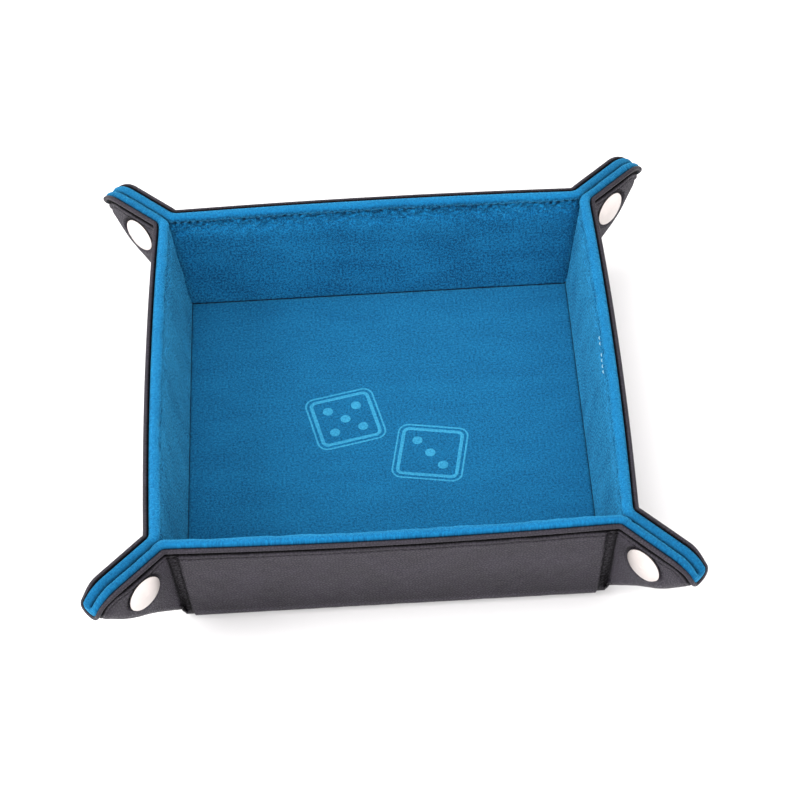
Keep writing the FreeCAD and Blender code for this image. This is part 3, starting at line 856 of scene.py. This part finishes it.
def pip(centre, radius):
    angle = np.linspace(0, 2 * math.pi, 33)
    ring = np.stack([np.cos(angle), np.sin(angle)], -1)
    share = radius * np.array([1.0, 1.0, 0.93, 0.6, 0.05])
    height = np.array([-0.5, 0.03, 0.075, 0.08, 0.08])
    return pressed(centre + ring[:, None] * share[:, None], height)


DICE = (  # centre, turn and pips of each printed die
    ((-16.6, 9.0), math.radians(13), ((-1, -1), (-1, 1), (0, 0), (1, -1), (1, 1))),
    ((17.4, -12.0), math.radians(-10), ((-1, 1), (0, 0), (1, -1))),
)
DIE_LINES = ((14.6, 4.4, 0.75), (12.8, 3.0, 1.5))  # half side, corner radius and width of its two lines
PIP_STEP, PIP_R = 6.0, 2.1


def floor_mark():
    """The pale print in the middle of the floor: two dice, drawn with a thin outer and a thick inner line."""
    grids = []
    for centre, turn, pips in DICE:
        centre = np.array(centre)
        for half, radius, width in DIE_LINES:
            loop, inward = rounded_square(half, radius, turn, centre)
            grids.append(pressed_line(loop, inward, width))
        c, s = math.cos(turn), math.sin(turn)
        for x, y in pips:
            where = centre + PIP_STEP * np.array([c * x - s * y, s * x + c * y])
            grids.append(pip(where, PIP_R))
    made = [(grid, grid[..., :2], np.zeros(grid.shape[:2]), UP) for grid in grids]
    piece = grid_mesh("floor_mark", made, PRINT)
    weld(piece, 0.01)
    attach(piece, "base")
    return piece


# ---- leather


def leather_section(rim):
    line = smooth_line(LEATHER, LEATHER_ROWS)
    return np.broadcast_to(line, (len(rim), *line.shape))


def leather_wall(wall):
    s, t, d, inset = middle_columns(leather_section)
    as_wall, _ = leather_depth(s, t, d, inset, 1, wall)
    flat = rolled(s, t, d, inset, 1, wall)
    grid = placed_middle(s, t, as_wall, wall), flat, leather_seams_and_shade(s, t, d, inset), outward_of(wall)
    piece = grid_mesh(f"leather_wall_{wall}", [grid], LEATHER_SKIN, LEATHER_PLY)
    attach(piece, f"wall_{wall}")
    return finish_piece(piece, f"wall_cover_{wall}")


def leather_end(wall, side):
    """Returns the leather of a wall's end and half ear, and its column up the folded edge with its seams and
    painted shade.
    """
    s, t, d, inset = end_columns(leather_section)
    as_wall, as_ear = leather_depth(s, t, d, inset, side, wall)
    points = to_wall(leather_fold_points(s, t, as_wall, as_ear), side, wall)
    dark, flat = leather_seams_and_shade(s, t, d, inset), rolled(s, t, d, inset, side, wall)
    name = half_ear(wall, side)
    grid = points, flat, dark, outward_of(wall)
    piece = grid_mesh(f"leather_ear_{name}", [grid], LEATHER_SKIN, LEATHER_PLY)
    bend_to_ear(piece, wall, side, leather_crease)
    finish_piece(piece, f"ear_cover_{name}")
    return piece, (s[-1], t[-1], as_ear[-1], inset[-1]), dark[-1]


def leather_crease(side, wall):
    """Where an ear's leather starts and stops turning, across the line where it leaves the wall."""
    # Two heights up the crease, and how deep the ear's leather is there
    low, high = (CORNER + r * MITRE + crease_line(ear) * ALONG for r, ear in ((2, 3.3), (38, 4.7)))
    line = (high - low) / np.linalg.norm(high - low)
    across = ACROSS - (ACROSS @ line) * line
    half = 0.5 * across / np.linalg.norm(across)
    middle = (low + high) / 2 + (THICK - CHANNEL) * OUT
    return to_wall(np.stack([middle - half, middle + half]), side, wall) * MM


def leather_fold(wall):
    """The leather of the lower edge, round a floor crease from the floor's underside to the wall."""
    half, arc = BASE + 0.4, LEAN * THICK
    x = np.linspace(-half, half, 220)[:, None]
    run = np.concatenate([[-2.5, -1.2], np.linspace(-0.02, LEAN + 0.02, 16) * THICK, [arc + 1.2, arc + 2.5]])
    lean = np.clip(run / THICK, 0, LEAN)
    outward = np.stack([0 * lean, np.sin(lean), -np.cos(lean)], -1)
    over = run - lean * THICK  # on the flat, before or after the bend
    points = np.zeros((len(x), len(run), 3))
    points[..., 0] = x
    points[..., 1] = BASE + THICK * np.sin(lean) + over * np.cos(lean)
    points[..., 2] = THICK - THICK * np.cos(lean) + over * np.sin(lean)
    ripple = np.abs(0.10 * waves(x, run, 15, 41)) * step(run, -1.0, 2.0) * (1 - step(run, arc - 2, arc + 1))
    points += ripple[..., None] * np.array([0, -0.5, 0.25])
    sunk = step(np.abs(x), BASE - 3.2, BASE - 2.5) * step(run, 1.0, 6.0)
    tucked = 0.12 * (1 - step(run, -2.5, -1.0)) + 0.16 * step(run, arc + 0.8, run[-1])
    points -= (CHANNEL * sunk + tucked)[..., None] * outward
    # Painted shade in the sunk strip and along its edge, carried round the lower edge.
    shade = 0.62 * sunk + 0.3 * hump(np.abs(x), BASE - 2.8, 0.35) * step(run, 1.0, 6.0)
    flat, turn = on_sheet(points[..., 0], run - 4 + 0 * x, 1, wall), TURN[wall]
    grid = turned(points, turn), flat, shade, turned(np.array([0, 1.0, -1.0]), turn)
    piece = grid_mesh(f"leather_fold_{wall}", [grid], LEATHER_SKIN, LEATHER_PLY)
    middle = np.array([0.0, BASE, THICK])
    low = middle + np.array([0, -0.2, -THICK])
    high = middle + THICK * OUT + 0.2 * np.array([0, COS, SIN])
    low, high = turned(np.stack([low, high]), turn) * MM
    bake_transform(piece)
    return finish_piece(piece, f"crease_cover_{wall}")


def leather_floor():
    half = BASE - 1.5
    x = np.linspace(-half, half, 60)
    u, v = np.meshgrid(x, x, indexing="ij")
    points = np.stack([u, v, 0.02 + 0.02 * (1 + waves(u, v, 25, 51))], -1)
    grid = points, points[..., :2], np.zeros_like(u), -UP
    piece = grid_mesh("leather_floor", [grid], LEATHER_SKIN, LEATHER_PLY)
    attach(piece, "base")
    return finish_piece(piece, "base_cover")


def leather_corner(wall, corner):
    """The rounded leather where three folds meet under a corner."""
    azimuth, polar = np.meshgrid(np.linspace(-25, 115, 26), np.radians(np.linspace(2, 79, 18)), indexing="ij")
    sunk = step(polar * THICK, 1.0, 6.0)
    between = 1 - step(np.abs(azimuth - 45), 14, 46)
    radius = THICK - 0.05 - CHANNEL * sunk - CORNER_DRAW * between * step(polar * THICK, 1.5, 6.5)
    around = np.radians(azimuth)
    ball = np.stack([np.sin(polar) * np.cos(around), np.sin(polar) * np.sin(around), -np.cos(polar)], -1)
    points = ball * radius[..., None] + CORNER
    turn = TURN[wall]
    # Painted shade in the sunk strip where it meets under the corner.
    grid = turned(points, turn), points[..., :2], 0.62 * sunk, turned(np.array([1.0, 1.0, -1.0]), turn)
    piece = grid_mesh(f"leather_corner_{corner}", [grid], LEATHER_SKIN, CORNER_PLY)
    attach(piece, "base")
    return piece


# ---- stitches


def rim_line(inset, at_end):
    """Points of each stitch along a wall's rim at one inset, on its middle or on one end with its ear."""
    fine = 0.2
    edge = BASE - JOIN
    lead = np.arange(edge, BASE + COS * RISE, fine) if at_end else np.arange(-edge, edge + 0.01, fine)
    points, normals = np.stack([lead, np.full_like(lead, RISE)], -1), np.tile([0.0, -1.0], (len(lead), 1))
    if at_end:
        ear_points, ear_normals = rim_path(fine)
        points, normals = np.concatenate([points, ear_points]), np.concatenate([normals, ear_normals])
    line = points + normals * inset
    run = np.concatenate([[0], np.cumsum(np.linalg.norm(np.diff(line, axis=0), axis=1))])
    count = int(run[-1] / STITCH)
    at = (np.arange(count)[:, None] + np.linspace(0.12, 0.88, 6)[None, :]) * STITCH
    return np.interp(at, run, line[:, 0]), np.interp(at, run, line[:, 1])


def stitches(label, wall, side, inset, place, material, crease, keep=None):
    """Short stitches along a seam of a wall's middle (side 0) or end. place(s, t, lift) gives points."""
    s, t = rim_line(inset, bool(side))
    if keep is not None:
        chosen = keep(s.mean(1), t.mean(1))
        s, t = s[chosen], t[chosen]
    rise = np.array([-0.35, 0.02, 0.14, 0.14, 0.02, -0.35]) + 0 * s
    centre = place(s, t, rise)
    up = place(s, t, rise + 0.5) - centre
    up /= np.linalg.norm(up, axis=-1, keepdims=True)
    along = np.gradient(centre, axis=1)
    along /= np.linalg.norm(along, axis=-1, keepdims=True)
    across = np.cross(along, up)
    angle = np.linspace(0, 2 * math.pi, 8)[:, None]
    size = np.array([0.0, 0.17, 0.21, 0.21, 0.17, 0.0])[:, None, None]
    ring = size * (np.cos(angle) * across[:, :, None] + np.sin(angle) * up[:, :, None])
    points = centre[:, :, None] + ring
    plain = np.zeros(points.shape[1:3])
    made = [(tube, np.stack([plain, plain], -1), plain, r[1, 1] + r[1, 2]) for tube, r in zip(points, ring)]
    piece = grid_mesh(f"{label}_{half_ear(wall, side) if side else wall}", made, material)
    weld(piece, 0.002)
    if side:
        bend_to_ear(piece, wall, side, crease)
    else:
        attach(piece, f"wall_{wall}")
    return piece


def stitch_leather(wall, side):
    def place(s, t, lift):
        groove, inset = np.full_like(s, LEATHER_GROOVE), np.full_like(s, LEATHER_SEAM)
        as_wall, as_ear = leather_depth(s, t, groove, inset, side or 1, wall)
        if not side:
            return placed_middle(s, t, as_wall + lift, wall)
        return to_wall(leather_fold_points(s, t, as_wall + lift, as_ear + lift), side, wall)

    return stitches("stitches", wall, side, LEATHER_SEAM, place, DARK_THREAD, leather_crease)


def stitch_velvet(wall, side, material, label, keep, inset=WALL_SEAM, groove=VELVET_GROOVE, proud=0.0):
    """Stitches along the velvet's seam, on the walls and the roots of the ears."""

    def place(s, t, lift):
        d = velvet_depth(s, t, np.full_like(s, groove), np.full_like(s, inset), side or 1, wall)
        d = d - proud - lift
        return placed_end(s, t, d, side, wall) if side else placed_middle(s, t, d, wall)

    return stitches(label, wall, side, inset, place, material, velvet_crease, keep)


# ---- boards and foam in the walls


def slab(name, wall, near, far, material, replaced):
    """A thin bowed board between two depths."""
    t = np.linspace(2.5, RISE - 7.5, 12)
    s = np.linspace(-1, 1, 50)[:, None] * (BASE - 5.2 + COS * t)
    t = np.broadcast_to(t, s.shape)
    skins = [placed_middle(s, t, np.full(s.shape, depth), wall) for depth in (near, far)]
    rows = (slice(None), 0), (-1, slice(1, None)), (slice(-2, None, -1), -1), (0, slice(-2, None, -1))
    rim = np.concatenate([np.stack([skin[row] for skin in skins], 1) for row in rows])
    flat, out = on_sheet(s, t, 1, wall), outward_of(wall)
    grids = [
        (skins[0], flat, np.zeros(s.shape), -out),
        (skins[1], flat, np.zeros(s.shape), out),
        (rim, np.zeros((*rim.shape[:2], 2)), np.zeros(rim.shape[:2]), -UP),
    ]
    piece = grid_mesh(name, grids, material)
    weld(piece, 0.02)
    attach(piece, f"wall_{wall}")
    return finish_piece(piece, replaced)


# ---- assembly


def worn(s, _):
    """Where a few of the right wall's stitches show pale, as the pile doesn't cover them."""
    return (s > -11) & (s < 19) & (np.mod(s, 17) < 12)


def near_wall(s, t):
    """Where an end's velvet seam is stitched through: up to the root of its ear."""
    return mitre_distance(s, t)[0] < 1.5


def wall_seams(wall):
    if wall != "right":
        return [stitch_velvet(wall, 0, BLUE_THREAD, "seam", None)]
    return [
        stitch_velvet(wall, 0, BLUE_THREAD, "seam", lambda s, t: ~worn(s, t)),
        stitch_velvet(wall, 0, PALE_THREAD, "worn_seam", worn, 5.0, 0.03, 0.22),
    ]


corners = [leather_corner(wall, ENDS[wall][0]) for wall in TURN]
declare_sheet(velvet_floor(), 0, [floor_mark()])
declare_sheet(leather_floor(), 0, corners)
for wall, turn in TURN.items():
    foam = slab(f"foam_{wall}", wall, 1.35, 2.75, FOAM, f"wall_foam_{wall}")
    board = slab(f"board_{wall}", wall, 2.85, 4.75, BOARD, f"wall_board_{wall}")
    seams = wall_seams(wall)
    declare_sheet(velvet_wall(wall), turn, seams)
    leather = leather_wall(wall)
    declare_sheet(leather, turn, [stitch_leather(wall, 0)])
    declare_sheet(leather_fold(wall), turn)
    for side in (1, -1):
        outside, column, dark = leather_end(wall, side)
        edge = wrap("leather_edge", column, dark, LEATHER_SKIN, wall, side)
        declare_sheet(outside, turn, [edge, stitch_leather(wall, side)])
        inside, column = velvet_end(wall, side)
        dark = velvet_seams_and_shade(*column, wall)
        tip = wrap("velvet_tip", column, dark, VELVET_STEEP, wall, side, from_row=PANEL_ROWS)
        seam = stitch_velvet(wall, side, BLUE_THREAD, "seam", near_wall)
        declare_sheet(inside, turn, [tip, seam])

SHOWN_CAD = {"snap_cap": CAP_METAL, "snap_s": SNAP_METAL, "base_board": BOARD, "base_foam": FOAM}
for name, shown in frame["nodes"].items():
    for start, material in SHOWN_CAD.items():
        if name.startswith(start):
            shown.data.materials.clear()
            shown.data.materials.append(material)


# ---- studio

bpy.ops.mesh.primitive_plane_add(size=8, location=(0, 0, -0.0002))
ground = bpy.context.object
ground.name = "ground"
plain = {"Base Color": (0.93, 0.92, 0.925, 1), "Roughness": 0.9, "Specular IOR Level": 0.1}
ground.data.materials.append(Look("studio_floor").surface(plain))

bpy.context.scene.view_settings.view_transform = "Standard"

world = bpy.context.scene.world or bpy.data.worlds.new("World")
bpy.context.scene.world = world
world.use_nodes = True
background = world.node_tree.nodes["Background"]
background.inputs[0].default_value = (1.0, 0.99, 0.985, 1)
background.inputs[1].default_value = 1.0


def area_light(name, location, size, power):
    """A square light that faces the tray."""
    data = bpy.data.lights.new(name, "AREA")
    data.energy, data.size = power, size
    light = bpy.data.objects.new(name, data)
    light.location = location
    light.rotation_euler = Vector([-x for x in location]).to_track_quat("-Z", "Y").to_euler()
    bpy.context.scene.collection.objects.link(light)


area_light("top", (-0.2, 0.3, 1.7), 1.3, 12)
area_light("front", (0.1, -1.5, 1.0), 1.2, 18)
area_light("side", (-1.3, -0.3, 0.9), 0.9, 19)

# The camera looks down at the tray from the front, a little turned and tilted.
AZIMUTH, ELEVATION, ROLL, DISTANCE = -0.0063, 0.8331, -0.0514, 983.939
AIM = np.array([6.2727, 5.0667, 20.0])
level = math.cos(ELEVATION)
back = np.array([math.sin(AZIMUTH) * level, -math.cos(AZIMUTH) * level, math.sin(ELEVATION)])
right = np.cross(-back, UP)
right /= np.linalg.norm(right)
up = np.cross(right, -back)
place = np.eye(4)
place[:3, 0] = math.cos(ROLL) * right + math.sin(ROLL) * up
place[:3, 1] = -math.sin(ROLL) * right + math.cos(ROLL) * up
place[:3, 2] = back
place[:3, 3] = (AIM + back * DISTANCE) * MM
lens = bpy.data.cameras.new("camera")
lens.lens, lens.sensor_width = 108.36, 36.0
lens.clip_start, lens.clip_end = 0.05, 20
camera = bpy.data.objects.new("camera", lens)
camera.matrix_world = Matrix(place.tolist())
bpy.context.scene.collection.objects.link(camera)
bpy.context.scene.camera = camera
